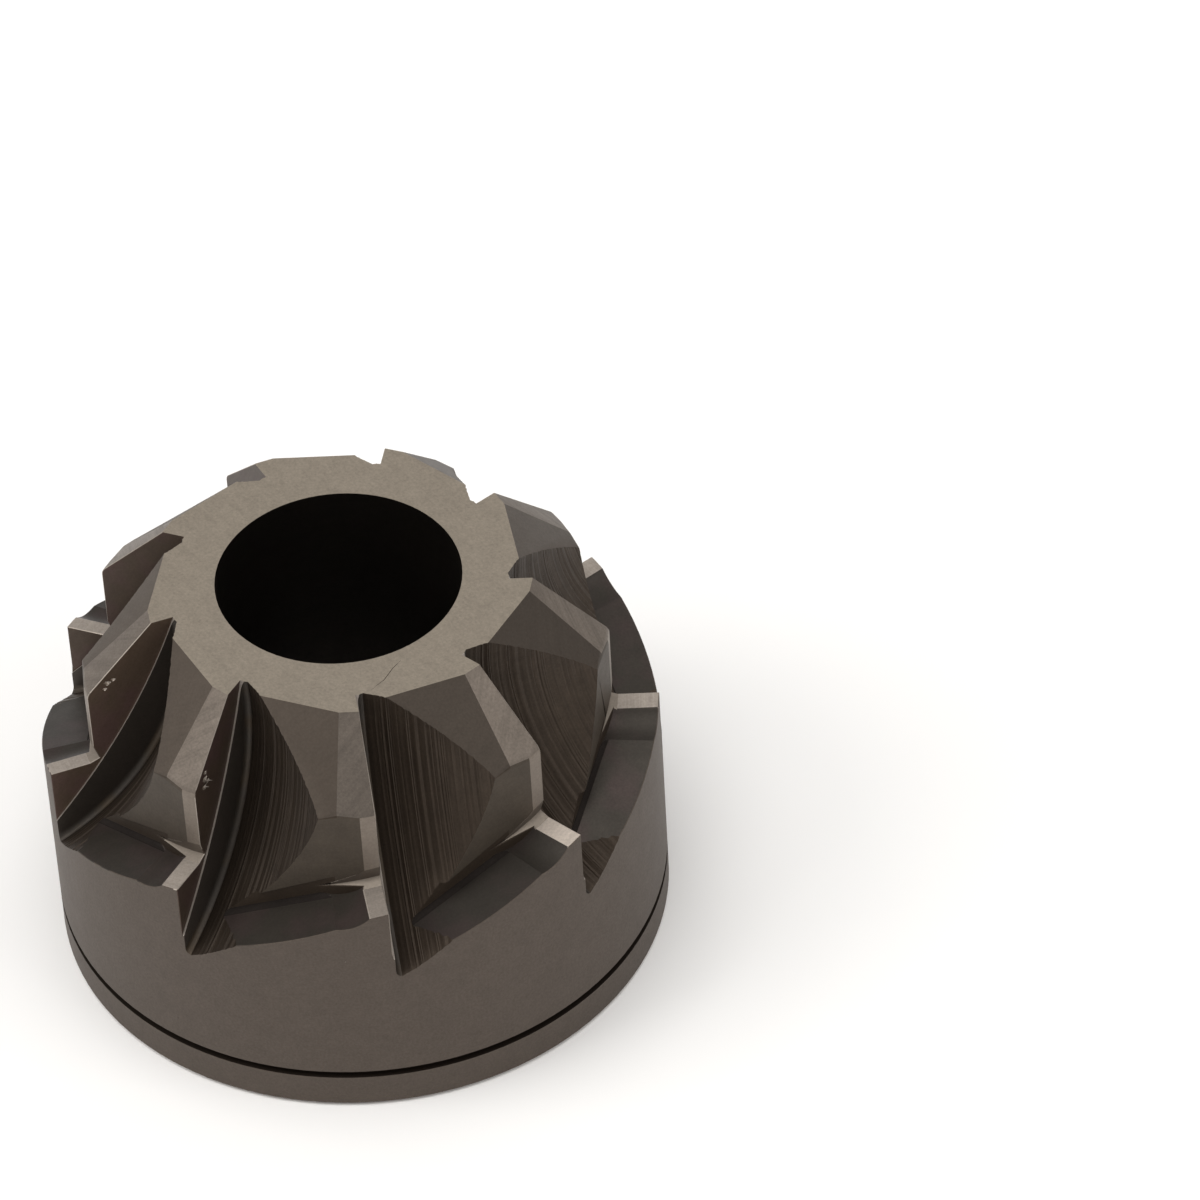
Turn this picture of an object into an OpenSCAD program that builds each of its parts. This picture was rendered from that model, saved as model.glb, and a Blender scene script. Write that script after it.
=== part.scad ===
// Head tube facing cutter: one piece of hardened tool steel.
// A turned blank carries nine teeth that ream the bearing seat (vertical
// margin), chamfer it (45 degree cone) and face the tube end (flat shoulder).
// The frame has +Z up, the origin in the middle of the base, and the rake face
// of the first tooth parallel to the XZ plane. Seen from above the cutter turns
// counter-clockwise, so every rake face looks towards +Y of its own tooth.

/* [Body] */
// Diameter of the body and of the base ring
body_d = 48.4; // [48:0.1:52]
// Height over everything
total_h = 33.5; // [33:0.1:35]
// Diameter of the bore, a slip fit on a 19.05 mm pilot shaft
bore_d = 19.1; // [18:0.05:20]
// Chamfer on the lower edge of the base ring
base_chamfer = 0.35; // [0.2:0.05:0.8]
// Height of the middle of the turned groove
groove_z = 3.5; // [3:0.1:6]
// Width of the turned groove
groove_w = 0.65; // [0.4:0.05:1]
// Depth of the turned groove
groove_depth = 0.5; // [0.3:0.05:1]

/* [Cutting profile] */
// Diameter of the margins that size the bearing seat
seat_d = 41.2; // [41:0.1:41.4]
// Diameter over the cutting edges at the flat top
top_d = 29.94; // [29:0.1:31]
// Height of the shoulder that faces the tube end
face_z = 20.8; // [20.4:0.1:21.2]
// Depth of the undercut between margin and shoulder
neck_depth = 0.4; // [0.35:0.05:0.45]
// Height of the undercut above the shoulder
neck_h = 1.7; // [1.5:0.05:1.9]
// Width of the strip that slopes from the undercut to the facing land
strip_w = 0.8; // [0.7:0.05:0.9]
// Height of that strip's inner edge above the land
strip_h = 0.3; // [0.2:0.05:0.4]

/* [Teeth] */
// Number of teeth
teeth = 9; // [8:1:10]
// Distance of the rake face behind the radial line
rake_offset = 0.83; // [0.7:0.01:1]

/* [Flutes] */
// Radius of the angle cutter that mills a flute
mill_r = 18.6; // [18.4:0.05:18.8]
// Distance of the angle cutter's axis from the bore axis
mill_x = 31.5; // [31.3:0.05:31.7]
// Height of the angle cutter's axis
mill_z = 31.1; // [30.9:0.05:31.3]
// Angle between the rake face and the back wall of a flute
mill_angle = 60.5; // [59:0.5:62]
// Radius in the root of a flute
root_r = 0.45; // [0.35:0.05:0.55]
// Stock left beside the rake face where the grinding wheel ran out
rake_step = 0.15; // [0.1:0.01:0.2]
// Radius of the wheel that ground the rake face
wheel_r = 55.8; // [55.5:0.1:56.1]
// Distance of the wheel's axis from the bore axis
wheel_x = 65.1; // [64.9:0.1:65.3]
// Height of the wheel's axis
wheel_z = 53.8; // [53.6:0.1:54]

/* [Relief of the cone] */
// Slope of the conical cutting edges
cone_angle = 45; // [44:0.5:46]
// Relief angle just behind a conical cutting edge
primary_relief = 6.6; // [5:0.1:8]
// Width of the primary land at the flat top
primary_w = 1.5; // [1.2:0.1:1.8]
// Relief angle of the secondary facet
secondary_relief = 21; // [20:0.5:22]
// Slope of the secondary facet, flatter than the cone so the land widens
secondary_slope = 42.2; // [41.5:0.1:43]
// Distance behind the rake face at which the secondary facet stops
secondary_end = 7.5; // [7:0.1:8]

/* [Relief of the margin and shoulder] */
// Width of the vertical margin
margin_w = 1.22; // [1:0.02:1.5]
// Relief angle of the wall behind the margin
wall_relief = 15.5; // [15:0.5:16]
// Relief angle of the facing land
face_relief = 10; // [8:0.5:12]
// Width of the facing land
face_w = 1.47; // [1.3:0.01:1.7]

/* [Relief pocket] */
// Distance of the pocket's corner at the facing land outside the undercut
pocket_out = 0.4; // [0.3:0.05:0.5]
// Relief angle of the pocket's wall
pocket_relief = 20; // [19.5:0.5:20.5]
// Height of the pocket's wall above the sloping floor
pocket_h = 1.7; // [1.5:0.1:1.9]
// Radius of the cutter that leaves the scoop behind the facing land
scoop_r = 3.2; // [3:0.1:3.5]
// Height of the lowest line of the scoop
scoop_z = 19.52; // [19.3:0.02:19.7]
// Fall of the pocket floor away from the land
floor_fall = 20; // [19:0.5:21]
// Fall of the pocket floor towards the rim
floor_tilt = 5; // [4:0.5:6]
// Height of the sloping floor, continued to that corner
floor_z = 20.4; // [20.2:0.05:20.6]
// Radius between the wall and the sloping floor
pocket_fillet = 0.4; // [0.3:0.05:0.6]

/* [Drive slots] */
// Width of the two slots that take the driving pins
slot_w = 5; // [4:0.5:6]
// Distance across the ends of the slots
slot_span = 28; // [26:1:32]
// Depth of the slots from the base
slot_depth = 4; // [3:0.5:6]

/* [Hidden] */
$fn = 96;
eps = 0.02;
body_r = body_d / 2;
bore_r = bore_d / 2;
seat_r = seat_d / 2;
top_r = top_d / 2;
neck_r = seat_r - neck_depth;
strip_r = neck_r + strip_w;
pocket_x = neck_r + pocket_out;
slope_rise = (seat_r - top_r) * tan(cone_angle);
cone_z = total_h - slope_rise;
slope_len = slope_rise / sin(cone_angle);
edge_y = -rake_offset;
over = 5;
run_out = 2;

// The blank below the teeth: base ring, groove and body. Above the shoulder it
// keeps the stock out of which the sloping strip is ground
module turned_body() {
  groove_low = groove_z - groove_w / 2;
  groove_high = groove_z + groove_w / 2;
  rotate_extrude()
    polygon([
      [0, 0],
      [body_r - base_chamfer, 0],
      [body_r, base_chamfer],
      [body_r, groove_low],
      [body_r - groove_depth, groove_low],
      [body_r - groove_depth, groove_high],
      [body_r, groove_high],
      [body_r, face_z + strip_h],
      [0, face_z + strip_h]
    ]);
}

// The blank above the shoulder: pilot, cone and flat top
module turned_pilot() {
  rotate_extrude()
    polygon([
      [0, groove_z],
      [seat_r, groove_z],
      [seat_r, cone_z],
      [top_r, total_h],
      [0, total_h]
    ]);
}

// Everything above the facing land of one tooth. One form wheel leaves the
// land, the sloping strip and the undercut, which all fall behind the edge
module face_relief_cut() {
  reach = 5;
  intersection() {
    translate([0, edge_y, face_z])
      rotate([face_relief, 0, 0])
        translate([0, -edge_y, 0])
          rotate_extrude()
            polygon([
              [strip_r, 0],
              [neck_r, strip_h],
              [seat_r + eps, neck_h],
              [body_r + over, neck_h],
              [body_r + over, 0]
            ]);
    translate([neck_r - over, edge_y - reach, face_z - over])
      cube([body_r, reach + over, 2 * over]);
  }
}

// The angle cutter that leaves the rake face, root and back wall of a flute.
// The back wall's line cuts a little into the root's circle
module flute_mill() {
  side = edge_y + rake_step;
  reach = 12;
  root_y = side + root_r;
  root_x = mill_r - root_r;
  cut_r = root_r - eps;
  cut_x = root_x + cut_r * sin(mill_angle);
  cut_y = root_y + cut_r * cos(mill_angle);
  back_x = cut_x - (reach - cut_y) / tan(mill_angle);
  front_x = cut_x + (cut_y - root_y) / tan(mill_angle);
  translate([mill_x, 0, mill_z])
    rotate([-90, 0, 0]) {
      rotate_extrude($fn = 180)
        polygon([
          [0, side],
          [root_x, side],
          [root_x, root_y],
          [front_x, root_y],
          [back_x, reach],
          [0, reach]
        ]);
      rotate_extrude($fn = 180)
        intersection() {
          translate([root_x, root_y]) circle(root_r);
          translate([root_x - root_r, side - 1]) square([2 * root_r, root_r + 1]);
        }
    }
}

// The wheel that grinds the rake face, a step deeper than the milled side
module rake_wheel() {
  translate([wheel_x, edge_y, wheel_z])
    rotate([-90, 0, 0])
      cylinder(r = wheel_r, h = 2 * rake_step, $fn = 360);
}

// Half space above the primary land of the cone
module primary_cut() {
  translate([top_r, edge_y, total_h - eps])
    rotate([0, cone_angle, 0])
      rotate([primary_relief, 0, 0])
        translate([-over, -over, 0])
          cube([slope_len + over + run_out, over + 1, over]);
}

// Half space above the secondary facet of the cone
module secondary_cut() {
  land_x = top_r - primary_w * tan(primary_relief) / cos(cone_angle);
  rear = (secondary_end - primary_w) / cos(secondary_relief);
  translate([land_x, edge_y - primary_w, total_h - eps])
    rotate([0, secondary_slope, 0])
      rotate([secondary_relief, 0, 0])
        translate([-over, -rear, 0])
          cube([slope_len + over + run_out, rear + run_out, over]);
}

// The wall behind the margin. Its lower end falls more steeply than the
// pocket's floor, so it runs into the pocket
module wall_cut() {
  margin_y = edge_y - margin_w;
  margin_x = sqrt(seat_r * seat_r - margin_y * margin_y);
  reach = 11;
  steeper = 5;
  lap = 0.2;
  translate([margin_x, margin_y, floor_z + pocket_h / cos(floor_fall) - lap])
    rotate([0, 0, -wall_relief])
      rotate([floor_fall + steeper, 0, 0])
        translate([0, -reach, 0])
          cube([body_r - neck_r + over, reach + over, reach]);
}

// Carries its children to the pocket's corner at the facing land, +X out
module on_pocket() {
  translate([pocket_x, edge_y - face_w, 0])
    rotate([0, 0, -pocket_relief])
      children();
}

// Carries its children on to the sloping floor of the pocket
module on_floor() {
  on_pocket()
    translate([0, 0, floor_z])
      rotate([floor_fall, 0, 0])
        children();
}

// Section of the pocket across its length: wall, fillet and tilted floor
module pocket_section(wide) {
  lift = pocket_fillet * (1 - sin(floor_tilt)) / cos(floor_tilt);
  side = pocket_fillet * (1 - sin(floor_tilt));
  polygon([
    [0, lift],
    [0, pocket_h],
    [wide, pocket_h],
    [wide, -wide * tan(floor_tilt)],
    [side, lift - pocket_fillet * cos(floor_tilt)],
    [pocket_fillet, lift]
  ]);
  translate([pocket_fillet, lift]) circle(pocket_fillet);
}

// The relief pocket behind the facing land: a scoop and a sloping floor
module pocket_cut() {
  wide = body_r - neck_r + over;
  reach = 11;
  start = 1.2;
  land_rear_z = face_z - face_w * tan(face_relief);
  scoop_rise = scoop_r - (land_rear_z - scoop_z);
  scoop_reach = sqrt(scoop_r * scoop_r - scoop_rise * scoop_rise);
  on_floor()
    translate([0, -start, 0])
      rotate([90, 0, 0])
        linear_extrude(reach)
          pocket_section(wide);
  intersection() {
    translate([0, edge_y - face_w - scoop_reach, scoop_z + scoop_r])
      rotate([0, 90, 0])
        cylinder(r = scoop_r, h = body_r + over);
    on_floor()
      translate([0, -reach, -pocket_h])
        cube([wide, 2 * reach, 2 * pocket_h]);
  }
}

// Two slots in the base, open to the bore
module drive_slots() {
  translate([-slot_span / 2, -slot_w / 2, -1])
    cube([slot_span, slot_w, slot_depth + 1]);
}

module cutter() {
  pitch = 360 / teeth;
  color("dimgray")
    difference() {
      union() {
        turned_body();
        turned_pilot();
      }
      translate([0, 0, -1]) cylinder(r = bore_r, h = total_h + 2);
      drive_slots();
      for (k = [0 : teeth - 1])
        rotate([0, 0, k * pitch]) {
          flute_mill();
          rake_wheel();
          primary_cut();
          secondary_cut();
          face_relief_cut();
          wall_cut();
          pocket_cut();
        }
    }
}

cutter();
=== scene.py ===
# %% [markdown]
# # A head tube facing cutter
#
# The object is one piece of hardened steel. A lathe turns the blank: a thick
# body with a narrow groove near its base, a smaller pilot above it with a
# 45 degree cone, and a bore for the pilot shaft. Then nine flutes are milled,
# the rake faces are ground, and every cutting edge is backed off so that only
# a narrow land behind it touches the bicycle frame.
#
# The CAD model holds all of those forms, so this script changes no size. It
# adds what a photograph shows and a drawing doesn't: which faces are ground
# bright, which are left dark from hardening, the marks of the milling cutter
# and the grinding wheel, the broken edges, and the nicks of use. Some colour is
# painted light and shade: a painted highlight on the ledge of each flute and
# along the cutting edges, painted shade in the corner of each relief pocket,
# and teeth made lighter or darker as the lamps fall on them.

# %% Load the frame
import math

import bmesh
import bpy
import numpy as np
from mathutils import Matrix, Vector


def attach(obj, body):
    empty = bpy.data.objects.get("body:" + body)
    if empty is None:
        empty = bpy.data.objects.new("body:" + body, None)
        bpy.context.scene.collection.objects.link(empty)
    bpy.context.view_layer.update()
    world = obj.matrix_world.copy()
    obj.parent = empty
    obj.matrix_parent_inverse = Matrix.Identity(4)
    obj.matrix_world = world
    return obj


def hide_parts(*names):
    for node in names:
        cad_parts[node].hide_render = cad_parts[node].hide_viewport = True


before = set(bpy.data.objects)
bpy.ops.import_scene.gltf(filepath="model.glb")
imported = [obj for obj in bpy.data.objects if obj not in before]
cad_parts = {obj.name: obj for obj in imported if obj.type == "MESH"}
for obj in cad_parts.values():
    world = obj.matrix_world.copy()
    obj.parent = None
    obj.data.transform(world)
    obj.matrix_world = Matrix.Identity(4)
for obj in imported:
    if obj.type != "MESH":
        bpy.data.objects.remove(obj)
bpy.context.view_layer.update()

MM = 0.001

# %% [markdown]
# ## The camera
#
# The photograph was taken with a long lens from about 43 degrees above the
# horizon. The ellipses of the bore and of the body give the angles, and the
# place of the bore in the picture gives the rest. The object stands left of
# the middle of the frame, so the camera looks past it and not at it.

# %% Camera
# Place and focal length in mm, angles in degrees
STANDPOINT = (33.382, -426.538, 433.079)
ELEVATION = 43.36
TURN = -1.8
ROLL = -3.39
LENS = 228.4

look = Matrix.Rotation(math.radians(-TURN), 3, "Z") @ Vector(
    (0, math.cos(math.radians(ELEVATION)), -math.sin(math.radians(ELEVATION)))
)
level = look.cross(Vector((0, 0, 1))).normalized()
upward = level.cross(look)
roll = math.radians(ROLL)
cam_x = level * math.cos(roll) + upward * math.sin(roll)
cam_y = upward * math.cos(roll) - level * math.sin(roll)
cam_axes = Matrix((cam_x, cam_y, -look)).transposed().to_4x4()

camera = bpy.data.objects.new("camera", bpy.data.cameras.new("camera"))
bpy.context.scene.collection.objects.link(camera)
camera.matrix_world = Matrix.Translation(Vector(STANDPOINT) * MM) @ cam_axes
camera.data.lens = LENS
camera.data.sensor_width = 36
camera.data.clip_start = 0.05
camera.data.clip_end = 20
bpy.context.scene.camera = camera
print("camera stands", round(camera.location.length, 3), "m from the base")

# %% [markdown]
# ## The cutter that milled the flutes
#
# An angle cutter mills each flute. Its flat side leaves the side of the rake
# face, its rounded rim the root, and its cone the back wall. The marks run the
# way this cutter moved, so the script needs its place and size. They repeat
# the CAD model's own, in millimetres, in the frame of the first tooth, whose
# rake face is parallel to the XZ plane.

# %% Size and place of the angle cutter, in mm
TEETH = 9
PITCH = 360 / TEETH
EDGE_Y, STEP, ROOT_R = -0.83, 0.15, 0.45
MILL_X, MILL_Z, MILL_R = 31.5, 31.1, 18.6
MILL_ANGLE = math.radians(60.5)

root_y = EDGE_Y + STEP + ROOT_R
cone_y = root_y + ROOT_R * math.cos(MILL_ANGLE)
cone_r = MILL_R - ROOT_R + ROOT_R * math.sin(MILL_ANGLE)
print("the cutter's cone starts at", round(cone_y, 3), "with a radius of", round(cone_r, 3))

# %% [markdown]
# ## Milling marks
#
# A milling cutter leaves fine grooves that follow its own circle, and where
# they run out over an edge they make it slightly ragged. Bump in a material
# could darken the wall but not fray the edge, so the marks are cut as shapes.
# Geometry Nodes repeat what the workshop did: one thin cutter with a rough
# profile is bent round the milling axis, turned to every tooth, and taken away
# from the steel with a boolean.

# %% Helpers for a node tree
def new_tree(name, sizes):
    tree = bpy.data.node_groups.new(name, "GeometryNodeTree")
    tree.interface.new_socket("Geometry", in_out="INPUT", socket_type="NodeSocketGeometry")
    for label, (kind, value) in sizes.items():
        socket = tree.interface.new_socket(label, in_out="INPUT", socket_type="NodeSocket" + kind)
        socket.default_value = value
    tree.interface.new_socket("Geometry", in_out="OUTPUT", socket_type="NodeSocketGeometry")
    return tree


def wire(tree, *pairs):
    for a, b in pairs:
        tree.links.new(a, b)


def math_node(tree, operation, *values):
    """One Math node; each value is a number or a socket. Returns its output."""
    node = tree.nodes.new("ShaderNodeMath")
    node.operation = operation
    for slot, value in zip(node.inputs, values):
        if isinstance(value, (int, float)):
            slot.default_value = value
        else:
            tree.links.new(value, slot)
    return node.outputs[0]


# %% The tree and its named sizes
marks = new_tree(
    "milling marks",
    {
        "Teeth": ("Int", TEETH),
        "Mill Radius": ("Float", cone_r * MM),
        "Mill X": ("Float", MILL_X * MM),
        "Mill Z": ("Float", MILL_Z * MM),
        "Wall Start": ("Float", cone_y * MM),
        "Wall Length": ("Float", 11.2 * MM),
        "Wall Slope": ("Float", 1 / math.tan(MILL_ANGLE)),
        "Mark Depth": ("Float", 0.07 * MM),
        "Marks per Metre": ("Float", 3200.0),
        "Seed": ("Float", 4.0),
    },
)
size = marks.nodes.new("NodeGroupInput").outputs
leave = marks.nodes.new("NodeGroupOutput")
print("sizes of the marks:", [socket.name for socket in size if socket.name])

# %% [markdown]
# The rough cutter starts as a unit box with many thin slices. Every slice gets
# one depth from a noise that runs along the wall, so each groove follows the
# circle of the mill. Only the higher part of the noise bites, which leaves the
# wall whole between the grooves. Beside the root the cutter is drawn back and
# cuts nothing.

# %% Depth of each slice
SLICES, ARC_POINTS = 150, 44
BITE_FROM, BITE_TO = 0.35, 0.65
GROW_OVER, DRAWN_BACK = 0.05, -0.6
blank = marks.nodes.new("GeometryNodeMeshCube")
blank.inputs["Size"].default_value = (1, 1, 1)
blank.inputs["Vertices X"].default_value = SLICES
blank.inputs["Vertices Y"].default_value = ARC_POINTS
blank.inputs["Vertices Z"].default_value = 2
place = marks.nodes.new("GeometryNodeInputPosition")
split = marks.nodes.new("ShaderNodeSeparateXYZ")
wire(marks, (place.outputs[0], split.inputs[0]))
along = math_node(marks, "ADD", split.outputs["X"], 0.5)
sweep = math_node(marks, "ADD", split.outputs["Y"], 0.5)
inner = math_node(marks, "ADD", split.outputs["Z"], 0.5)

run = math_node(marks, "MULTIPLY", along, size["Wall Length"])
rough = marks.nodes.new("ShaderNodeTexNoise")
rough.noise_dimensions = "1D"
rough.inputs["Detail"].default_value = 3
rough.inputs["Roughness"].default_value = 0.7
rough.inputs["Scale"].default_value = 1
where = math_node(marks, "MULTIPLY_ADD", run, size["Marks per Metre"], size["Seed"])
bite = marks.nodes.new("ShaderNodeMapRange")
bite.inputs["From Min"].default_value = BITE_FROM
bite.inputs["From Max"].default_value = BITE_TO
grow = marks.nodes.new("ShaderNodeMapRange")
grow.interpolation_type = "SMOOTHSTEP"
grow.inputs["From Max"].default_value = GROW_OVER
grow.inputs["To Min"].default_value = DRAWN_BACK
wire(
    marks,
    (where, rough.inputs["W"]),
    (rough.outputs[0], bite.inputs["Value"]),
    (along, grow.inputs["Value"]),
)
mark = math_node(marks, "MULTIPLY", bite.outputs[0], grow.outputs[0])
mark = math_node(marks, "MULTIPLY", mark, size["Mark Depth"])
print("slices of the rough cutter:", SLICES)

# %% The box bent round the milling axis
# Thickness of the rough cutter in mm; the part of its circle that meets the steel, in degrees
CUTTER_WALL = 3
SECTOR, SECTOR_START = 85, 166
narrowing = math_node(marks, "MULTIPLY", run, size["Wall Slope"])
radius = math_node(marks, "SUBTRACT", size["Mill Radius"], narrowing)
radius = math_node(marks, "ADD", radius, mark)
radius = math_node(marks, "SUBTRACT", radius, math_node(marks, "MULTIPLY", inner, CUTTER_WALL * MM))
angle = math_node(marks, "MULTIPLY_ADD", sweep, math.radians(SECTOR), math.radians(SECTOR_START))
cosine = math_node(marks, "COSINE", angle)
sine = math_node(marks, "SINE", angle)
bend = marks.nodes.new("ShaderNodeCombineXYZ")
shape = marks.nodes.new("GeometryNodeSetPosition")
wire(
    marks,
    (math_node(marks, "MULTIPLY_ADD", cosine, radius, size["Mill X"]), bend.inputs["X"]),
    (math_node(marks, "ADD", run, size["Wall Start"]), bend.inputs["Y"]),
    (math_node(marks, "MULTIPLY_ADD", sine, radius, size["Mill Z"]), bend.inputs["Z"]),
    (blank.outputs["Mesh"], shape.inputs["Geometry"]),
    (bend.outputs[0], shape.inputs["Position"]),
)
print("the rough cutter covers", SECTOR, "degrees round its axis")

# %% One cutter at every tooth
ring = marks.nodes.new("GeometryNodePoints")
turn = marks.nodes.new("ShaderNodeCombineXYZ")
index = marks.nodes.new("GeometryNodeInputIndex")
step_angle = math_node(marks, "DIVIDE", math.tau, size["Teeth"])
around = marks.nodes.new("GeometryNodeInstanceOnPoints")
flat = marks.nodes.new("GeometryNodeRealizeInstances")
outward = marks.nodes.new("GeometryNodeFlipFaces")
wire(
    marks,
    (size["Teeth"], ring.inputs["Count"]),
    (math_node(marks, "MULTIPLY", index.outputs[0], step_angle), turn.inputs["Z"]),
    (ring.outputs[0], around.inputs["Points"]),
    (shape.outputs[0], around.inputs["Instance"]),
    (turn.outputs[0], around.inputs["Rotation"]),
    (around.outputs[0], flat.inputs[0]),
    (flat.outputs[0], outward.inputs["Mesh"]),
)
print("cutters:", TEETH)

# %% The cut, and the end of the tree
cut = marks.nodes.new("GeometryNodeMeshBoolean")
cut.operation = "DIFFERENCE"
cut.solver = "MANIFOLD"
whole = marks.nodes.new("GeometryNodeRealizeInstances")
steel = marks.nodes.new("GeometryNodeSetMaterial")
steel.inputs["Material"].default_value = bpy.data.materials.new("raw steel")
wire(
    marks,
    (size["Geometry"], cut.inputs["Mesh 1"]),
    (outward.outputs[0], cut.inputs["Mesh 2"]),
    (cut.outputs["Mesh"], whole.inputs[0]),
    (whole.outputs[0], steel.inputs["Geometry"]),
    (steel.outputs[0], leave.inputs["Geometry"]),
)
print("nodes in the tree:", len(marks.nodes))

# %% [markdown]
# ## The shown piece
#
# The CAD mesh stays as it is. A copy is made for the looks: its doubled
# vertices are merged, the tree above cuts its marks into it, and the result
# becomes a plain mesh. The copy drops the stored normals of the CAD mesh,
# because they don't fit the new faces that the cuts leave.

# %% Copy of the solid
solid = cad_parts["cutter"].data.copy()
if "custom_normal" in solid.attributes:
    solid.attributes.remove(solid.attributes["custom_normal"])
merge = bmesh.new()
merge.from_mesh(solid)
bmesh.ops.remove_doubles(merge, verts=merge.verts, dist=0.001 * MM)
print("triangles:", len(merge.faces), "open edges:", sum(len(e.link_faces) != 2 for e in merge.edges))
merge.to_mesh(solid)
merge.free()
rough_piece = bpy.data.objects.new("with marks", solid)
bpy.context.scene.collection.objects.link(rough_piece)

# %% [markdown]
# ## Nicks of use
#
# Two cutting teeth have lost small flakes beside their edge, the body has two
# pinpricks, and a hairline scratch crosses the flat top. A darker spot in the
# material would catch no light on its rim, so each is cut out of the steel with
# a small rough ball or a thin wedge, as a real dent takes real metal.

# %% Balls for the flakes and pinpricks
# Each one: its tooth, its place in that tooth's frame, and its radius, in mm
FLAKES = [
    (6, 19.05, EDGE_Y, 28.15, 0.36),
    (6, 18.72, EDGE_Y, 27.7, 0.24),
    (6, 19.25, EDGE_Y, 27.45, 0.28),
    (6, 18.95, EDGE_Y, 28.75, 0.22),
    (5, 18.9, EDGE_Y, 28.65, 0.3),
    (5, 18.4, EDGE_Y, 28.85, 0.2),
    (5, 19.15, EDGE_Y, 28.1, 0.2),
]
PINPRICKS = [
    (0, -14.03, -19.82, 5.91, 0.13),
    (0, -0.28, -24.26, 16.08, 0.11),
]
LUMPS = 0.25


def nick_place(nick):
    k, x, y, z, _ = nick
    return Matrix.Rotation(math.radians(PITCH * k), 3, "Z") @ Vector((x, y, z))


dents = bmesh.new()
for nick in FLAKES + PINPRICKS:
    ball = bmesh.ops.create_icosphere(dents, subdivisions=2, radius=nick[4] * MM)["verts"]
    there = nick_place(nick) * MM
    for i, v in enumerate(ball):
        v.co = there + v.co * (1 - LUMPS + LUMPS * math.sin(17 * i))
print("flakes:", len(FLAKES), "pinpricks:", len(PINPRICKS))

# %% A wedge for the scratch
TOP_Z = 33.5
SCRATCH = [(4.91, -9.41), (4.31, -10.26), (3.64, -11.53), (2.67, -12.57)]
HALF_WIDTH, END_WIDTH, DEPTH, ABOVE = 0.05, 0.01, 0.04, 0.03
wedge = []
for i, (x, y) in enumerate(SCRATCH):
    wide = HALF_WIDTH if 0 < i < len(SCRATCH) - 1 else END_WIDTH
    corners = ((x - wide, y, TOP_Z + ABOVE), (x + wide, y, TOP_Z + ABOVE), (x, y, TOP_Z - DEPTH))
    wedge.append([dents.verts.new(Vector(c) * MM) for c in corners])
for a, b in zip(wedge, wedge[1:]):
    for i in range(3):
        dents.faces.new((a[i], a[i - 1], b[i - 1], b[i]))
dents.faces.new(wedge[0])
dents.faces.new(wedge[-1][::-1])
bmesh.ops.recalc_face_normals(dents, faces=dents.faces)
dent_mesh = bpy.data.meshes.new("dents")
dents.to_mesh(dent_mesh)
dents.free()
dent_object = bpy.data.objects.new("dents", dent_mesh)
bpy.context.scene.collection.objects.link(dent_object)
print("points of the scratch:", len(SCRATCH))

# %% Both cuts made plain
dented = rough_piece.modifiers.new("dents", "BOOLEAN")
dented.operation, dented.solver, dented.object = "DIFFERENCE", "MANIFOLD", dent_object
milled = rough_piece.modifiers.new("milling marks", "NODES")
milled.node_group = marks
bpy.context.view_layer.update()
evaluated = rough_piece.evaluated_get(bpy.context.evaluated_depsgraph_get())
mesh = bpy.data.meshes.new_from_object(evaluated)
mesh.name = "cutter_skin"
rough_piece.modifiers.clear()
bpy.data.objects.remove(rough_piece)
bpy.data.objects.remove(dent_object)
print("triangles:", sum(len(p.vertices) - 2 for p in mesh.polygons), "before:", len(solid.polygons))

# %% [markdown]
# ## Naming the faces
#
# Each face of the solid comes from one machining step, and its finish depends
# on that step. The script knows the surface that each step leaves: a plane, a
# cylinder, or a cone. It turns every face into the frame of each tooth and
# gives it the finish of the surface that it lies on.

# %% Helpers for a plane, a cylinder and a cone
def rotation(*steps):
    """A turn made of steps such as ("Z", degrees), the first one outermost."""
    turn = Matrix.Identity(3)
    for axis, degrees in steps:
        turn = turn @ Matrix.Rotation(math.radians(degrees), 3, axis)
    return turn


def plane(point, normal):
    point, normal = np.array(point), np.array(normal)

    def test(p, n):
        return np.abs((p - point) @ normal), n @ normal

    test.flat = True
    return test


def cylinder(point, axis, radius, hollow=False):
    point, axis = np.array(point), np.array(axis)

    def test(p, n):
        out = p - point
        out = out - np.outer(out @ axis, axis)
        far = np.linalg.norm(out, axis=1)
        facing = np.einsum("ij,ij->i", n, out) / np.maximum(far, 1e-9)
        return np.abs(far - radius), -facing if hollow else facing

    return test


def cone(point, axis, radius, slope):
    """Around an axis, with this radius at the point and this growth along the axis."""
    point, axis = np.array(point), np.array(axis)

    def test(p, n):
        out = p - point
        high = out @ axis
        out = out - np.outer(high, axis)
        far = np.linalg.norm(out, axis=1)
        facing = np.einsum("ij,ij->i", n, out) / np.maximum(far, 1e-9) - slope * (n @ axis)
        return np.abs(far - radius - slope * high) / math.hypot(1, slope), facing / math.hypot(1, slope)

    return test


def opposite(test):
    return lambda p, n: (test(p, n)[0], -test(p, n)[1])


# %% Sizes of the ground and milled surfaces, in mm and degrees
SEAT_R, TOP_R = 20.6, 14.97
CONE_ANGLE, PRIMARY_RELIEF, PRIMARY_W = 45, 6.6, 1.5
SECONDARY_SLOPE, SECONDARY_RELIEF = 42.2, 21
MARGIN_W, WALL_RELIEF = 1.22, 15.5
FACE_Z, FACE_W, FACE_RELIEF = 20.8, 1.47, 10
NECK_DEPTH, NECK_H, STRIP_W, STRIP_H, OVERLAP = 0.4, 1.7, 0.8, 0.3, 0.02
POCKET_OUT, POCKET_RELIEF, FILLET = 0.4, 20, 0.4
FLOOR_Z, FLOOR_FALL, FLOOR_TILT = 20.4, 20, 5
SCOOP_R, SCOOP_Z = 3.2, 19.52
WHEEL_X, WHEEL_Z, WHEEL_R = 65.1, 53.8, 55.8

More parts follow.
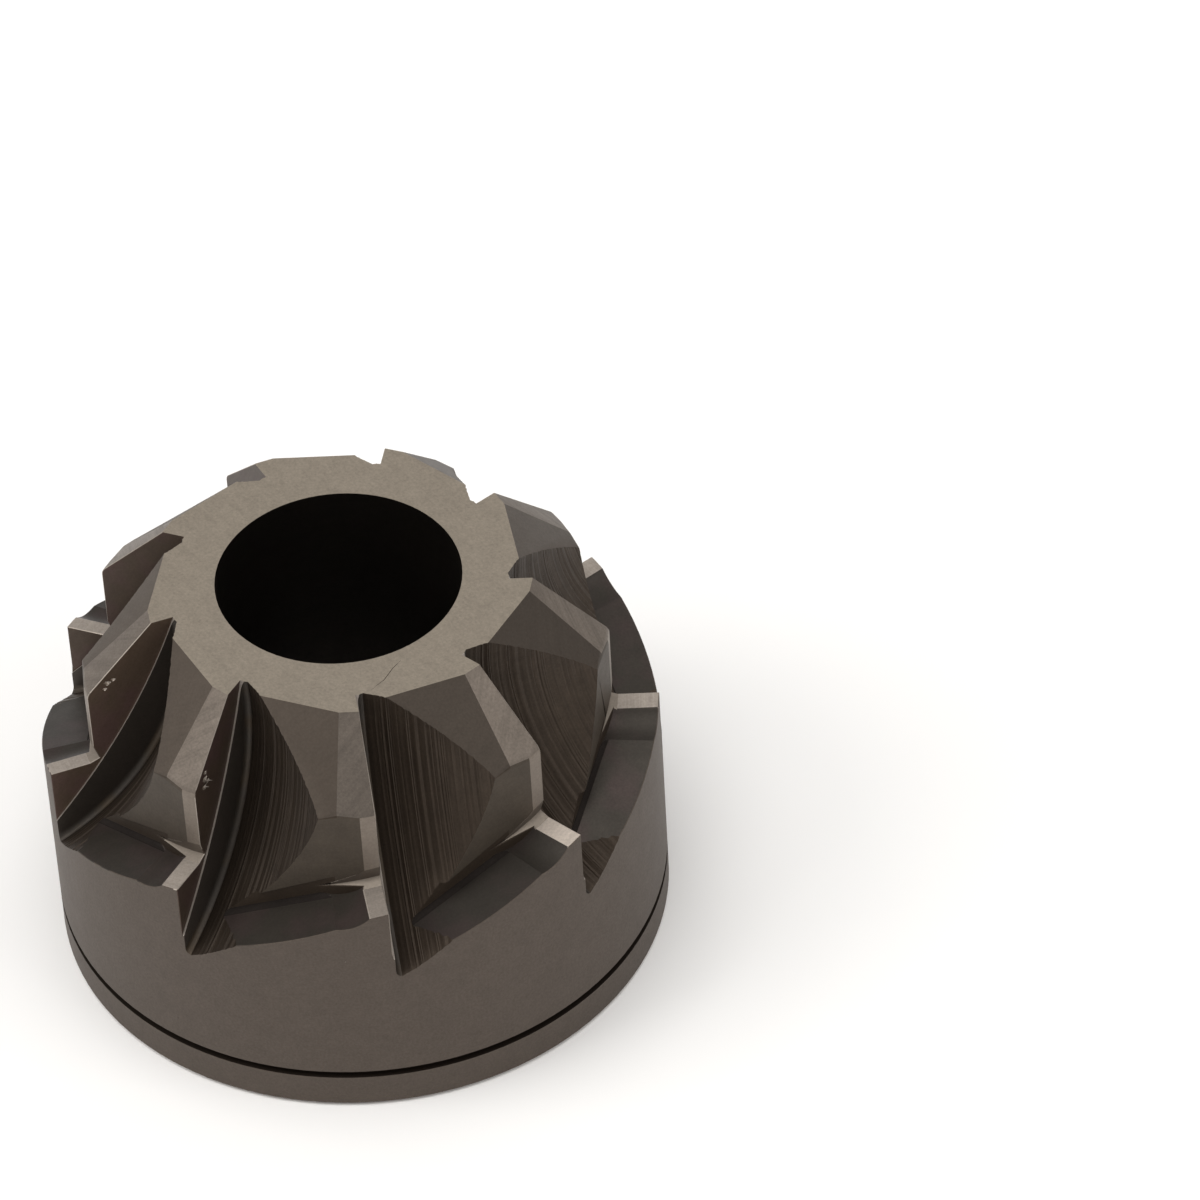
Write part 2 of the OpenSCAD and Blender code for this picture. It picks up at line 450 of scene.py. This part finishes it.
UP, BACK = Vector((0, 0, 1)), Vector((0, 1, 0))
land_x = TOP_R - PRIMARY_W * math.tan(math.radians(PRIMARY_RELIEF)) / math.cos(math.radians(CONE_ANGLE))
primary_up = rotation(("Y", CONE_ANGLE), ("X", PRIMARY_RELIEF)) @ UP
secondary_up = rotation(("Y", SECONDARY_SLOPE), ("X", SECONDARY_RELIEF)) @ UP
margin_y = EDGE_Y - MARGIN_W
margin_x = math.sqrt(SEAT_R**2 - margin_y**2)
neck_r = SEAT_R - NECK_DEPTH
neck_slope = (NECK_DEPTH + OVERLAP) / (NECK_H - STRIP_H)
shoulder_turn = rotation(("X", FACE_RELIEF))
shoulder_up = shoulder_turn @ UP
shoulder_at = Vector((0, EDGE_Y, FACE_Z)) - shoulder_turn @ BACK * EDGE_Y
print("the margin ends at", round(margin_x, 2), round(margin_y, 2), "radius of the undercut:", neck_r)

# %% Sizes of the relief pocket
pocket_at = Vector((neck_r + POCKET_OUT, EDGE_Y - FACE_W, FLOOR_Z))
pocket_turn = rotation(("Z", -POCKET_RELIEF), ("X", FLOOR_FALL))
floor_up = pocket_turn @ rotation(("Y", FLOOR_TILT)) @ UP
scoop_rise = SCOOP_R - (FACE_Z - FACE_W * math.tan(math.radians(FACE_RELIEF)) - SCOOP_Z)
scoop_at = (0, pocket_at.y - math.sqrt(SCOOP_R**2 - scoop_rise**2), SCOOP_Z + SCOOP_R)
tilt = math.radians(FLOOR_TILT)
fillet_at = pocket_at + pocket_turn @ Vector((1, 0, (1 - math.sin(tilt)) / math.cos(tilt))) * FILLET
print("pocket's corner:", [round(v, 2) for v in pocket_at], "scoop:", [round(v, 2) for v in scoop_at])

# %% Surfaces of a tooth, in the frame of the first tooth
TOOTH_FACES = [
    ("rake", plane((0, EDGE_Y, 0), BACK)),
    ("step", plane((0, EDGE_Y + STEP, 0), BACK)),
    ("ledge highlight", cylinder((WHEEL_X, 0, WHEEL_Z), BACK, WHEEL_R, hollow=True)),
    ("root", cylinder((MILL_X, 0, MILL_Z), BACK, MILL_R, hollow=True)),
    ("flute", opposite(cone((MILL_X, cone_y, MILL_Z), BACK, cone_r, -1 / math.tan(MILL_ANGLE)))),
    ("primary", plane((TOP_R, EDGE_Y, TOP_Z), primary_up)),
    ("secondary", plane((land_x, EDGE_Y - PRIMARY_W, TOP_Z), secondary_up)),
    ("wall", plane((margin_x, margin_y, 0), rotation(("Z", -WALL_RELIEF)) @ Vector((1, 0, 0)))),
    ("pocket wall", plane(pocket_at, rotation(("Z", -POCKET_RELIEF)) @ Vector((1, 0, 0)))),
    ("floor", plane(pocket_at, floor_up)),
    ("floor", cylinder(scoop_at, (1, 0, 0), SCOOP_R, hollow=True)),
    ("shaded pocket corner", cylinder(fillet_at, pocket_turn @ BACK, FILLET, hollow=True)),
    ("land", plane((0, EDGE_Y, FACE_Z), shoulder_up)),
    ("strip", cone(shoulder_at, shoulder_up, neck_r + STRIP_W, -STRIP_W / STRIP_H)),
    ("neck", cone(shoulder_at, shoulder_up, neck_r - STRIP_H * neck_slope, neck_slope)),
]
print("surfaces of a tooth:", len(TOOTH_FACES))

# %% Turned surfaces and the drive slots, in the object's own frame
BODY_R, BORE_R, BASE_CHAMFER = 24.2, 9.55, 0.35
GROOVE_Z, GROOVE_W, GROOVE_DEPTH = 3.5, 0.65, 0.5
SLOT_W, SLOT_SPAN, SLOT_DEPTH = 5, 28, 4
ZERO = (0, 0, 0)
ROUND_FACES = [
    ("margin", cylinder(ZERO, UP, SEAT_R)),
    ("body", cylinder(ZERO, UP, BODY_R)),
    ("bore", cylinder(ZERO, UP, BORE_R, hollow=True)),
    ("top", plane((0, 0, TOP_Z), UP)),
    ("base", plane(ZERO, -UP)),
    ("base", cone(ZERO, UP, BODY_R - BASE_CHAMFER, 1)),
    ("groove", cylinder(ZERO, UP, BODY_R - GROOVE_DEPTH)),
    ("groove", plane((0, 0, GROOVE_Z - GROOVE_W / 2), UP)),
    ("groove", plane((0, 0, GROOVE_Z + GROOVE_W / 2), -UP)),
    ("slot", plane((0, SLOT_W / 2, 0), -BACK)),
    ("slot", plane((0, -SLOT_W / 2, 0), BACK)),
    ("slot", plane((SLOT_SPAN / 2, 0, 0), (-1, 0, 0))),
    ("slot", plane((-SLOT_SPAN / 2, 0, 0), (1, 0, 0))),
    ("slot", plane((0, 0, SLOT_DEPTH), -UP)),
]
FINISHES = [*dict.fromkeys(name for name, _ in TOOTH_FACES + ROUND_FACES), "edge"]
print("finishes:", FINISHES)

# %% [markdown]
# The misfit of a face is its distance from the surface plus a share for
# looking another way, so that of two surfaces that cross, the right one wins.
# The milled wall is rough, so it may be off by the depth of its marks. The
# root is told by its place between the rake face and the wall. The surface
# with the smallest misfit names the face.

# %% Which finish each face has
# In mm, also the weights: what a face pays for looking at right angles to the surface
NEVER = 9.0
TURN_WEIGHT, ROUGH_TURN_WEIGHT = 2, 0.4
ROUGHNESS, ROUGH_MISFIT = 0.08, 0.01
ROOT_REACH, ROOT_OVER, ROOT_MISFIT = 0.5, 0.02, 0.03
TOOTH_SIDE, GOOD_FIT = 6, 0.01


def into_tooth(points, k):
    turn = np.array(Matrix.Rotation(math.radians(-PITCH * k), 3, "Z"))
    return points @ turn.T


def misfit(name, surface, p, n):
    """How badly faces at p with normals n fit a surface, in mm."""
    gap, facing = surface(p, n)
    if name == "flute":
        return np.maximum(gap - ROUGHNESS, 0) + ROUGH_TURN_WEIGHT * (1 - facing) + ROUGH_MISFIT
    if name == "root":
        inside = (p[:, 1] > EDGE_Y + STEP) & (p[:, 1] < cone_y + ROOT_OVER) & (gap < ROOT_REACH)
        return np.where(inside, ROOT_MISFIT, NEVER)
    return gap + TURN_WEIGHT * (1 - facing)


def name_faces(centre, normal):
    """Finish, tooth, flatness and misfit of each face, from its centre and normal in mm."""
    best = np.full(len(centre), NEVER)
    finish = np.zeros(len(centre), int)
    tooth = np.zeros(len(centre), int)
    flat = np.zeros(len(centre), bool)
    frames = [(0, ROUND_FACES)] + [(k, TOOTH_FACES) for k in range(TEETH)]
    for k, surfaces in frames:
        p, n = into_tooth(centre, k), into_tooth(normal, k)
        near = p[:, 0] > TOOTH_SIDE if surfaces is TOOTH_FACES else np.full(len(p), True)
        for name, surface in surfaces:
            miss = misfit(name, surface, p, n)
            closer = near & (miss < best)
            best[closer], finish[closer], tooth[closer] = miss[closer], FINISHES.index(name), k
            flat[closer] = hasattr(surface, "flat")
    return finish, tooth, flat & (best < GOOD_FIT), best


def give_finishes(bm):
    """Writes each face's finish and smoothness; returns finish, tooth and misfit."""
    centre = np.array([f.calc_center_median() for f in bm.faces]) / MM
    normal = np.array([f.normal for f in bm.faces])
    finish, tooth, flat, miss = name_faces(centre, normal)
    for f, number, is_flat in zip(bm.faces, finish, flat):
        f.material_index = int(number)
        f.smooth = not is_flat
    return finish, tooth, miss


# %% The finishes given to the cut mesh
bm = bmesh.new()
bm.from_mesh(mesh)
bmesh.ops.remove_doubles(bm, verts=bm.verts, dist=0.003 * MM)
bm.normal_update()
finish, tooth, miss = give_finishes(bm)
for i, name in enumerate(FINISHES):
    here = finish == i
    print(f"{name:12s} {here.sum():6d} faces, worst fit {miss[here].max() if here.any() else 0:.2f}")

# %% [markdown]
# ## Edges
#
# No real edge is perfectly sharp. A Bevel modifier would treat all edges alike,
# so the edges are picked here by the finishes on their two sides. A wide
# rounding goes where the cone meets the vertical walls, which is a real form
# of the tool. The other edges that turn by more than 22 degrees get a break of
# a few hundredths of a millimetre. It keeps the finish beside it, except where
# a ground land meets a rake face: that is a cutting edge, and its break gets
# the bright edge finish, worn steel with a painted highlight along it. The edges
# of the milled flutes get none, because the marks already fray them, and the
# turned edges of top, bore, base and groove stay crisp.

# %% Helpers for edges
# Faces that turn by less than this many degrees lie in one plane
ONE_PLANE = 0.4


def join_flat_faces(bm):
    """Joins the triangles of one plane into one face again, milled walls excepted."""
    rough = {FINISHES.index(name) for name in ("flute", "root")}
    edges = [e for e in bm.edges if not {f.material_index for f in e.link_faces} & rough]
    verts = [v for v in bm.verts if not {f.material_index for f in v.link_faces} & rough]
    limit = math.radians(ONE_PLANE)
    bmesh.ops.dissolve_limit(bm, angle_limit=limit, verts=verts, edges=edges, delimit={"MATERIAL"})


def edges_between(bm, first, second, least):
    """Outer edges between two sets of finishes that turn by at least so many degrees."""
    found = []
    for e in bm.edges:
        if len(e.link_faces) != 2:
            continue
        a, b = (FINISHES[f.material_index] for f in e.link_faces)
        pair = (a in first and b in second) or (b in first and a in second)
        if pair and a != b and e.calc_face_angle_signed(0) > math.radians(least):
            found.append(e)
    return found


def round_off(bm, edges, width, segments):
    made = bmesh.ops.bevel(
        bm, geom=edges, offset=width * MM, offset_type="OFFSET", segments=segments,
        profile=0.5, affect="EDGES", clamp_overlap=False, material=-1,
    )
    return made["faces"]


# %% Rounded and broken edges
# Widths in mm, and the least turn of such an edge in degrees
CORNER_W, CORNER_TURN, CORNER_STEPS = 0.35, 20, 4
BREAK_W, BREAK_TURN = 0.05, 22
NOT_BROKEN = {"flute", "root", "step", "ledge highlight", "groove", "top", "base", "bore"}
GROUND = {"primary", "margin", "land", "strip"}
join_flat_faces(bm)
corners = edges_between(bm, {"primary", "secondary"}, {"margin", "wall"}, CORNER_TURN)
round_off(bm, corners, CORNER_W, CORNER_STEPS)
crisp = set(FINISHES) - NOT_BROKEN
kept = bm.faces.layers.int.new("kept finish")
breaks = edges_between(bm, crisp, crisp, BREAK_TURN)
for f in round_off(bm, breaks, BREAK_W, 1):
    beside = {FINISHES[g.material_index] for e in f.edges for g in e.link_faces if g is not f}
    cutting = beside & GROUND and "rake" in beside
    # A cutting edge gets the bright edge finish: worn steel, and a painted highlight along the edge
    f[kept] = 1 + (FINISHES.index("edge") if cutting else f.material_index)
print("rounded corners:", len(corners), "broken edges:", len(breaks))

# %% The broken steel inside the flakes is bright too
# A face belongs to a flake if it is small, in mm, and hardly farther out than its ball
SMALL, REACH = 0.3, 1.1
spots = [(nick_place(nick), REACH * nick[4]) for nick in FLAKES]
broken = 0
for f in bm.faces:
    middle = f.calc_center_median() / MM
    inside = any((middle - place).length < reach for place, reach in spots)
    if inside and f.calc_area() < (SMALL * MM) ** 2:
        f[kept] = 1 + FINISHES.index("edge")
        broken += 1
print("faces inside the flakes:", broken)

# %% [markdown]
# ## Which way the marks run
#
# Ground and milled steel is scratched in one direction, and that direction is
# different on every surface. A UV map holds it: U counts millimetres across
# the scratches and V millimetres along them, so one noise stretched along V
# fits every surface. A grinding wheel leaves arcs round its own axis, a lathe
# leaves rings, and a land ground by hand has slanted lines.

# %% Millimetres across and along the marks
# Slants in degrees, mean radii of the arcs in mm
PRIMARY_SLANT, SECONDARY_SLANT = 38, 8
RAKE_ARC_R, BASE_ARC_R = 56, 20
TOP_X, TOP_Y = 0.8, 0.6


def across_and_along(name, p):
    """U and V of points in the frame of their tooth, for one finish."""
    x, y, z = p.T
    if name in ("flute", "root", "step", "ledge highlight"):
        return y, np.arctan2(z - MILL_Z, x - MILL_X) * MILL_R
    if name == "rake":
        return np.hypot(x - WHEEL_X, z - WHEEL_Z), np.arctan2(z - WHEEL_Z, x - WHEEL_X) * RAKE_ARC_R
    if name in ("primary", "secondary"):
        down = (x - TOP_R) * math.sqrt(2)
        slant = math.radians(PRIMARY_SLANT if name == "primary" else SECONDARY_SLANT)
        return down * math.cos(slant) + y * math.sin(slant), y * math.cos(slant) - down * math.sin(slant)
    if name in ("margin", "wall", "pocket wall", "shaded pocket corner", "neck"):
        return z, y
    if name in ("land", "strip", "floor"):
        return x, y
    if name == "top":
        return x * TOP_X + y * TOP_Y, y * TOP_X - x * TOP_Y
    if name == "base":
        return np.hypot(x, y), np.arctan2(y, x) * BASE_ARC_R
    return z, np.arctan2(y, x) * BODY_R


# %% [markdown]
# ## Tones of the teeth, with painted light and shade
#
# Each tooth was ground by hand, so its faces are a little lighter or darker
# than its neighbour's. Some of the factors are painted light and shade: the
# secondary facets are made lighter on the left and darker on the right, as the
# lamps fall on them, and the primary facet and land of tooth 8 carry a painted
# highlight. A material for each tooth would repeat the same steel nine times.
# Instead every face carries a factor in an attribute, and the one material
# multiplies its colour with it. The teeth are numbered from +X,
# counter-clockwise; those at the back are out of sight and guessed.

# %% The tones with painted light and shade, the map and the last finishes written
TONES_AND_PAINTED_LIGHT = {
    # Factors for the teeth's own tones, with painted light and shade mixed in: lighter secondary facets
    # on the left, darker ones on the right, and a painted highlight on tooth 8
    ("primary", 7): 0.76, ("land", 7): 0.78, ("primary", 8): 1.06, ("land", 8): 1.5,
    ("primary", 2): 0.85, ("land", 3): 1.2, ("primary", 4): 1.1, ("secondary", 8): 0.8,
    ("secondary", 0): 0.78, ("secondary", 5): 1.12, ("rake", 5): 1.6, ("rake", 6): 0.85,
    ("flute", 6): 0.72, ("flute", 5): 0.8, ("flute", 2): 0.85, ("floor", 8): 0.8,
}
# How far the map slides from tooth to tooth, so that no two show the same part of the noise
NEXT_U, NEXT_V = 7, 11
SHARP_TURN = 20


def write_marks(bm):
    """Writes the map, the tones with their painted light and shade, and the kept finishes."""
    finish, tooth, _ = give_finishes(bm)
    layer = bm.loops.layers.uv.new("marks")
    kept = bm.faces.layers.int["kept finish"]
    tone_and_painted_light = bm.faces.layers.float.new("tone_and_painted_light")
    turned = {FINISHES.index(name) for name, _ in ROUND_FACES} - {FINISHES.index("margin")}
    for f, number, k in zip(bm.faces, finish, tooth):
        points = np.array([loop.vert.co for loop in f.loops]) / MM
        if number not in turned:
            points = into_tooth(points, k)
        u, v = across_and_along(FINISHES[number], points)
        for loop, a, b in zip(f.loops, u, v):
            loop[layer].uv = (a + NEXT_U * k, b + NEXT_V * k)
        f[tone_and_painted_light] = TONES_AND_PAINTED_LIGHT.get((FINISHES[number], int(k)), 1)
        if f[kept]:
            f.material_index = f[kept] - 1


bm.normal_update()
write_marks(bm)
smooth = [f.smooth for f in bm.faces]
finish_of_face = [f.material_index for f in bm.faces]
bm.to_mesh(mesh)
bm.free()
mesh.set_sharp_from_angle(angle=math.radians(SHARP_TURN))
mesh.polygons.foreach_set("use_smooth", smooth)
print("faces:", len(smooth), "of them flat:", smooth.count(False))

# %% [markdown]
# ## Hardened steel
#
# All of it is one steel, so one function makes every finish. Hardening and
# blasting leave a dull skin that reflects no clear image, so the shader is
# only partly metal and partly diffuse. The colour drifts over a millimetre or
# so, as the scale of hardening does, and some finishes have spots that the
# heat has tinted. On top come the stretched marks, which change the colour,
# the gloss and the relief together, and a fine grain. Where a number is the
# same all over, it is set on the shader itself.

# %% Helpers for a material
def add_node(tree, kind, **inputs):
    """A shader node with its inputs set; each one is a number, a tuple or a socket."""
    node = tree.nodes.new(kind)
    for label, value in inputs.items():
        slot = node.inputs[label.replace("_", " ")]
        if isinstance(value, (int, float, tuple)):
            slot.default_value = value
        else:
            tree.links.new(value, slot)
    return node


def noise(tree, vector, scale, detail, rough=0.55):
    sizes = dict(Vector=vector, Scale=scale, Detail=detail, Roughness=rough)
    return add_node(tree, "ShaderNodeTexNoise", **sizes).outputs[0]


def spread(tree, value, amount, middle=0.5):
    """Turns a noise that swings round its middle into a factor that swings round one."""
    return math_node(tree, "MULTIPLY_ADD", value, 2 * amount, 1 - 2 * amount * middle)


# %% One function for every finish
# Height of the grain, as a share of the height of the marks
SPECK_HEIGHT = 0.6


def steel_finish(
    name, colour, gloss, marks=0.0, per_mm=6.0, stretch=30.0, drift=0.12, drift_mm=1.6,
    tint=None, tint_amount=0.0, tint_mm=3.5, grain=0.2, grain_mm=0.2, relief=0.004, metal=0.45,
):
    """A material of dark steel. Sizes are in millimetres, strengths are shares of the colour."""
    made = bpy.data.materials.new(name + " steel")
    made.use_nodes = True
    tree = made.node_tree
    shader = tree.nodes["Principled BSDF"]
    shader.inputs["Metallic"].default_value = metal
    shader.inputs["Specular IOR Level"].default_value = 0.25

    place = add_node(tree, "ShaderNodeTexCoord").outputs["Object"]
    way = tree.nodes.new("ShaderNodeUVMap")
    way.uv_map = "marks"
    fine_scale = (per_mm, per_mm / stretch, 1)
    coarse_scale = (per_mm / 4, per_mm / stretch / 3, 1)
    lines = add_node(tree, "ShaderNodeMapping", Vector=way.outputs[0], Scale=fine_scale).outputs[0]
    coarse = add_node(tree, "ShaderNodeMapping", Vector=way.outputs[0], Scale=coarse_scale).outputs[0]
    streak = math_node(tree, "ADD", noise(tree, lines, 1, 3, 0.65), noise(tree, coarse, 1, 2))
    streak = spread(tree, streak, marks, middle=1)
    cloud = spread(tree, noise(tree, place, 1 / (drift_mm * MM), 4), drift)
    speck = noise(tree, place, 1 / (grain_mm * MM), 2, 0.7)
    shade = math_node(tree, "MULTIPLY", streak, cloud)
    shade = math_node(tree, "MULTIPLY", shade, spread(tree, speck, grain))

    # In a Mix node for colours, inputs 6 and 7 are the two colours and output 2 is the result
    base = add_node(tree, "ShaderNodeMix")
    base.data_type = "RGBA"
    base.inputs[6].default_value = (*colour, 1)
    base.inputs[7].default_value = (*(tint or colour), 1)
    heat = noise(tree, place, 1 / (tint_mm * MM), 2)
    spot = add_node(tree, "ShaderNodeMapRange", Value=heat, From_Min=0.45, From_Max=0.65).outputs[0]
    tree.links.new(math_node(tree, "MULTIPLY", spot, tint_amount), base.inputs[0])
    # The factor of each face scales its colour: the tooth's own tones together with painted light and
    # shade
    tone_and_painted_light = tree.nodes.new("ShaderNodeAttribute")
    tone_and_painted_light.attribute_name = "tone_and_painted_light"
    scaled = add_node(tree, "ShaderNodeVectorMath", Vector=base.outputs[2])
    scaled.operation = "SCALE"
    wire(
        tree,
        (math_node(tree, "MULTIPLY", shade, tone_and_painted_light.outputs["Fac"]), scaled.inputs["Scale"]),
        (scaled.outputs[0], shader.inputs["Base Color"]),
    )

    dull = math_node(tree, "SUBTRACT", 2, shade)
    grit = math_node(tree, "MULTIPLY", speck, SPECK_HEIGHT)
    height = math_node(tree, "MULTIPLY_ADD", streak, 1 if marks else 0, grit)
    bump = add_node(tree, "ShaderNodeBump", Height=height, Distance=relief * MM)
    wire(
        tree,
        (math_node(tree, "MULTIPLY_ADD", dull, gloss * 0.5, gloss * 0.5), shader.inputs["Roughness"]),
        (bump.outputs[0], shader.inputs["Normal"]),
    )
    return made


# %% The finishes
FINISH_OF = {
    "body": dict(colour=(0.09, 0.072, 0.059), gloss=0.55, drift=0.1, grain=0.24, relief=0.008),
    "groove": dict(colour=(0.02, 0.014, 0.01), gloss=0.6),
    "base": dict(colour=(0.2, 0.17, 0.145), gloss=0.45, marks=0.1),
    "bore": dict(colour=(0.03, 0.025, 0.021), gloss=0.38, marks=0.1, per_mm=4, metal=0.85),
    "slot": dict(colour=(0.09, 0.075, 0.065), gloss=0.5, marks=0.1),
    "top": dict(
        colour=(0.268, 0.232, 0.187), gloss=0.5, marks=0.1, per_mm=5, stretch=9, grain=0.3, relief=0.006
    ),
    "primary": dict(
        colour=(0.15, 0.126, 0.106), gloss=0.5, marks=0.22, per_mm=5, stretch=22, grain=0.28, relief=0.006
    ),
    "secondary": dict(colour=(0.074, 0.059, 0.047), gloss=0.52, marks=0.07, per_mm=5, drift=0.1),
    "margin": dict(colour=(0.187, 0.156, 0.129), gloss=0.46, marks=0.08, per_mm=8),
    "wall": dict(colour=(0.063, 0.05, 0.038), gloss=0.52, marks=0.06, drift=0.18),
    "neck": dict(colour=(0.095, 0.077, 0.062), gloss=0.5, marks=0.1),
    "strip": dict(colour=(0.25, 0.215, 0.18), gloss=0.46, marks=0.1),
    "land": dict(colour=(0.37, 0.325, 0.285), gloss=0.5, marks=0.16, per_mm=6, grain=0.25),
    "floor": dict(
        colour=(0.042, 0.036, 0.03), gloss=0.45, drift=0.2, tint=(0.056, 0.039, 0.037), tint_amount=0.6
    ),
    # Painted shade: the fillet in the corner of the pocket is made nearly black and dull, so that it
    # catches no highlight
    "shaded pocket corner": dict(colour=(0.016, 0.012, 0.01), gloss=0.9, drift=0.15, metal=0.2),
    "pocket wall": dict(colour=(0.043, 0.031, 0.022), gloss=0.5, drift=0.15),
    "rake": dict(
        colour=(0.066, 0.046, 0.033), gloss=0.42, marks=0.1, tint=(0.078, 0.045, 0.043), tint_amount=0.6
    ),
    "step": dict(colour=(0.05, 0.041, 0.034), gloss=0.45, marks=0.12),
    # Painted highlight: the narrow rounded ledge beside the rake face is coloured almost as light as the
    # land, as a light line along the flute
    "ledge highlight": dict(colour=(0.3, 0.265, 0.235), gloss=0.45, marks=0.1),
    "root": dict(
        colour=(0.046, 0.039, 0.033), gloss=0.45, marks=0.14, tint=(0.06, 0.042, 0.025), tint_amount=0.6
    ),
    "flute": dict(
        colour=(0.044, 0.032, 0.023), gloss=0.5, marks=0.22, per_mm=8, stretch=26, drift=0.22,
        grain=0.24, relief=0.015,
    ),
    # Bright worn steel for the cutting edges and the flakes; along the cutting edges its light colour is
    # also a painted highlight
    "edge": dict(colour=(0.34, 0.3, 0.26), gloss=0.4, metal=0.7),
}
mesh.materials.clear()
for name in FINISHES:
    mesh.materials.append(steel_finish(name, **FINISH_OF[name]))
mesh.polygons.foreach_set("material_index", finish_of_face)
print("materials:", len(mesh.materials))

# %% The shown piece takes the solid's place
skin = bpy.data.objects.new("cutter_skin", mesh)
bpy.context.scene.collection.objects.link(skin)
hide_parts("cutter")
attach(skin, "root")
print("piece:", skin.name, "with", len(mesh.polygons), "faces")

# %% [markdown]
# ## Floor and light
#
# The photograph is on pure white. A white floor under an even white sky gives
# the same, with a soft shadow at the foot of the object, and the steel picks up
# that white as it did for the photographer. Three large lamps give it shape.

# %% Floor and sky
FLOOR_HALF = 3
floor_mesh = bpy.data.meshes.new("floor")
quarters = ((-1, -1), (1, -1), (1, 1), (-1, 1))
floor_corners = [(x * FLOOR_HALF, y * FLOOR_HALF, 0) for x, y in quarters]
floor_mesh.from_pydata(floor_corners, [], [(0, 1, 2, 3)])
floor = bpy.data.objects.new("floor", floor_mesh)
bpy.context.scene.collection.objects.link(floor)
pale = bpy.data.materials.new("white floor")
pale.use_nodes = True
paint = pale.node_tree.nodes["Principled BSDF"]
paint.inputs["Base Color"].default_value = (0.98, 0.98, 0.98, 1)
paint.inputs["Roughness"].default_value = 0.8
paint.inputs["Specular IOR Level"].default_value = 0.1
floor_mesh.materials.append(pale)

world = bpy.data.worlds.new("studio")
bpy.context.scene.world = world
world.use_nodes = True
sky = world.node_tree.nodes["Background"]
sky.inputs["Color"].default_value = (1, 0.985, 0.97, 1)
sky.inputs["Strength"].default_value = 0.57
print("floor:", 2 * FLOOR_HALF, "m wide, sky:", [round(v, 3) for v in sky.inputs["Color"].default_value])

# %% Three soft lamps
AIM = Vector((0, 0, 0.02))


def softbox(name, place, size, watts):
    """A square lamp that looks at the object; place and size in metres."""
    data = bpy.data.lights.new(name, "AREA")
    data.size = size
    data.energy = watts
    data.color = (1, 0.98, 0.95)
    lamp = bpy.data.objects.new(name, data)
    bpy.context.scene.collection.objects.link(lamp)
    lamp.location = place
    lamp.rotation_euler = (AIM - Vector(place)).to_track_quat("-Z", "Y").to_euler()


softbox("top light", (-0.2, -0.3, 2.0), 1.6, 17)
softbox("left light", (-1.2, -0.3, 1.0), 0.9, 7.5)
softbox("right light", (1.1, -0.6, 1.0), 0.9, 4)
bpy.context.scene.view_settings.view_transform = "Standard"

# %% The scene brought up to date
bpy.context.view_layer.update()
